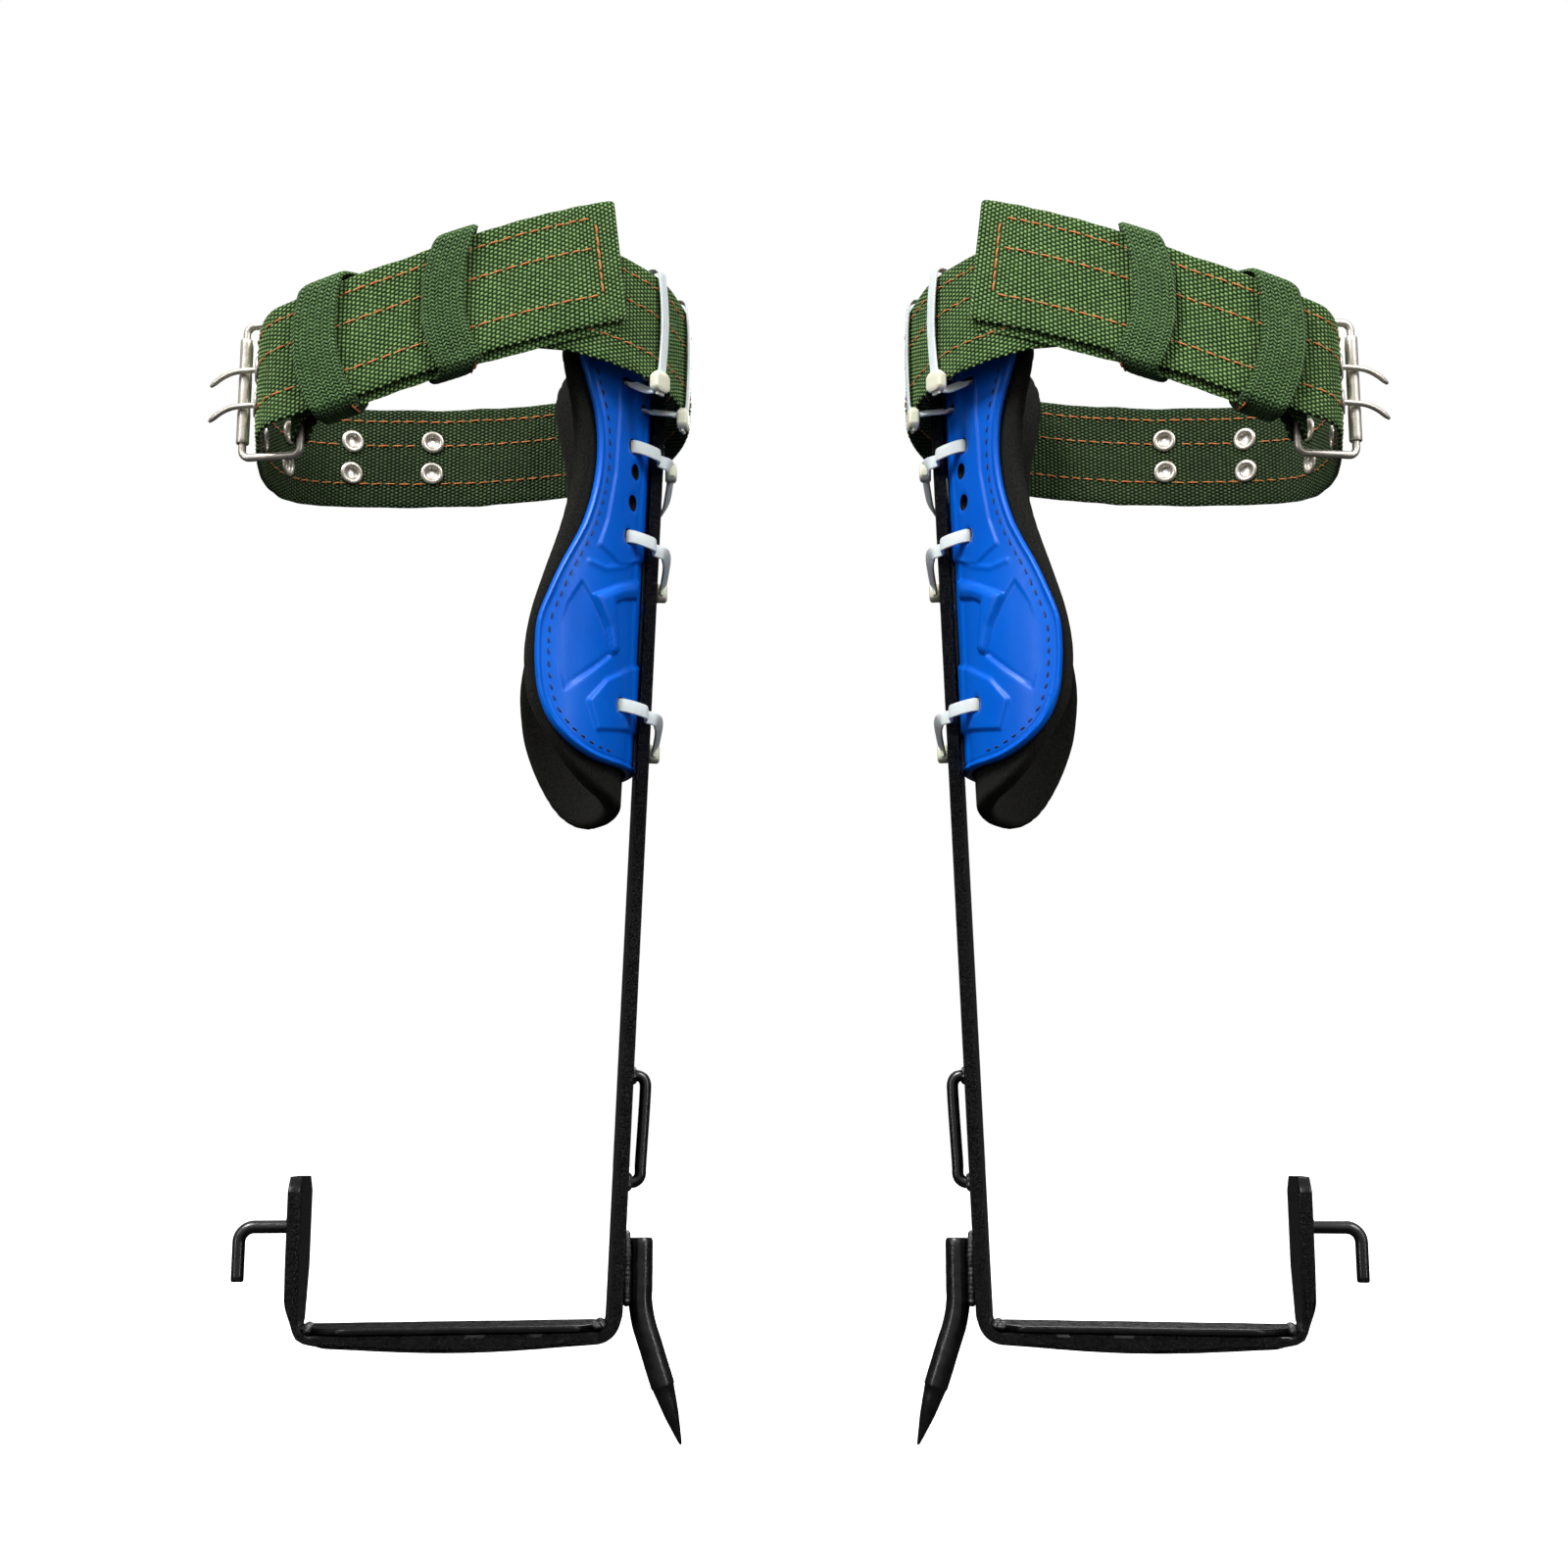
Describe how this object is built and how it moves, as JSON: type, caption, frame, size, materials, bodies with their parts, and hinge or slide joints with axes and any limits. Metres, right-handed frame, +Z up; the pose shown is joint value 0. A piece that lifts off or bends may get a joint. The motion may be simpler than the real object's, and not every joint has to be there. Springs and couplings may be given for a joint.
{
  "type": "climbing irons pair",
  "caption": "Pair of strap-on climbing irons: bent steel shank with tread and angled gaff, moulded calf cup with foam, buckled webbing belt on nylon ties",
  "frame": {"origin": "midway between the two treads, at the height of their top faces, on the pair's mirror plane", "axes": "+X across the pair from the left iron to the right one, +Y to the rear, +Z up the shanks"},
  "size_m": [0.4972, 0.1431, 0.5268],
  "materials": {
    "steel": "satin black paint over hot-rolled bar",
    "cup": "glossy moulded plastic",
    "foam": "matt closed-cell foam",
    "web": "coarse woven webbing",
    "nickel": "nickel plate",
    "nylon": "translucent natural nylon"
  },
  "bodies": {
    "left_iron": {"left_leg_iron": "steel", "left_foot_plate": "steel", "left_gaff": "steel", "left_gaff_weld": "steel", "left_hook_rod": "steel", "left_ankle_loop": "steel", "left_calf_shell": "cup", "left_foam_pad": "foam", "left_belt": "web", "left_shank_tie_1": "nylon", "left_shank_tie_2": "nylon", "left_shank_tie_3": "nylon", "left_strap_tie_1": "nylon", "left_strap_tie_2": "nylon", "left_eyelet_1": "nickel", "left_eyelet_2": "nickel", "left_eyelet_3": "nickel", "left_eyelet_4": "nickel", "left_eyelet_5": "nickel", "left_eyelet_6": "nickel", "left_eyelet_7": "nickel", "left_eyelet_8": "nickel", "left_eyelet_9": "nickel", "left_eyelet_10": "nickel"},
    "right_iron": {"right_leg_iron": "steel", "right_foot_plate": "steel", "right_gaff": "steel", "right_gaff_weld": "steel", "right_hook_rod": "steel", "right_ankle_loop": "steel", "right_calf_shell": "cup", "right_foam_pad": "foam", "right_belt": "web", "right_shank_tie_1": "nylon", "right_shank_tie_2": "nylon", "right_shank_tie_3": "nylon", "right_strap_tie_1": "nylon", "right_strap_tie_2": "nylon", "right_eyelet_1": "nickel", "right_eyelet_2": "nickel", "right_eyelet_3": "nickel", "right_eyelet_4": "nickel", "right_eyelet_5": "nickel", "right_eyelet_6": "nickel", "right_eyelet_7": "nickel", "right_eyelet_8": "nickel", "right_eyelet_9": "nickel", "right_eyelet_10": "nickel"},
    "left_buckle": {"left_buckle_frame": "nickel"},
    "left_roller": {"left_buckle_roller": "nickel"},
    "left_prong_upper": {"left_prong_upper": "nickel"},
    "left_prong_lower": {"left_prong_lower": "nickel"},
    "left_keeper_1": {"left_keeper_1": "web"},
    "left_keeper_2": {"left_keeper_2": "web"},
    "right_buckle": {"right_buckle_frame": "nickel"},
    "right_roller": {"right_buckle_roller": "nickel"},
    "right_prong_upper": {"right_prong_upper": "nickel"},
    "right_prong_lower": {"right_prong_lower": "nickel"},
    "right_keeper_1": {"right_keeper_1": "web"},
    "right_keeper_2": {"right_keeper_2": "web"}
  },
  "joints": [
    {"name": "right_iron_step", "type": "slide", "parent": "left_iron", "child": "right_iron", "axis": [0, 0, 1], "range_m": [0, 0.3]},
    {"name": "left_buckle_swing", "type": "hinge", "parent": "left_iron", "child": "left_buckle", "pos_m": [-0.20822, -0.05854, 0.3865], "axis": [0, 0, 1], "range_deg": [-6, 0]},
    {"name": "left_roller_spin", "type": "hinge", "parent": "left_buckle", "child": "left_roller", "pos_m": [-0.23361, -0.05426, 0.3865], "axis": [0, 0, 1], "continuous": true},
    {"name": "left_prong_upper_lift", "type": "hinge", "parent": "left_iron", "child": "left_prong_upper", "pos_m": [-0.20822, -0.05854, 0.3865], "axis": [0, 0, 1], "range_deg": [0, 1.5]},
    {"name": "left_prong_lower_lift", "type": "hinge", "parent": "left_iron", "child": "left_prong_lower", "pos_m": [-0.20822, -0.05854, 0.3865], "axis": [0, 0, 1], "range_deg": [0, 1.5]},
    {"name": "left_keeper_1_slide", "type": "slide", "parent": "left_iron", "child": "left_keeper_1", "axis": [0.9097, 0.0978, 0.4036], "range_m": [0, 0.004]},
    {"name": "left_keeper_2_slide", "type": "slide", "parent": "left_iron", "child": "left_keeper_2", "axis": [0.9137, 0.1385, 0.382], "range_m": [0, 0.008]},
    {"name": "right_buckle_swing", "type": "hinge", "parent": "right_iron", "child": "right_buckle", "pos_m": [0.20822, -0.05854, 0.3865], "axis": [0, 0, -1], "range_deg": [-6, 0]},
    {"name": "right_roller_spin", "type": "hinge", "parent": "right_buckle", "child": "right_roller", "pos_m": [0.23361, -0.05426, 0.3865], "axis": [0, 0, -1], "continuous": true},
    {"name": "right_prong_upper_lift", "type": "hinge", "parent": "right_iron", "child": "right_prong_upper", "pos_m": [0.20822, -0.05854, 0.3865], "axis": [0, 0, -1], "range_deg": [0, 1.5]},
    {"name": "right_prong_lower_lift", "type": "hinge", "parent": "right_iron", "child": "right_prong_lower", "pos_m": [0.20822, -0.05854, 0.3865], "axis": [0, 0, -1], "range_deg": [0, 1.5]},
    {"name": "right_keeper_1_slide", "type": "slide", "parent": "right_iron", "child": "right_keeper_1", "axis": [-0.9097, 0.0978, 0.4036], "range_m": [0, 0.004]},
    {"name": "right_keeper_2_slide", "type": "slide", "parent": "right_iron", "child": "right_keeper_2", "axis": [-0.9137, 0.1385, 0.382], "range_m": [0, 0.008]}
  ]
}
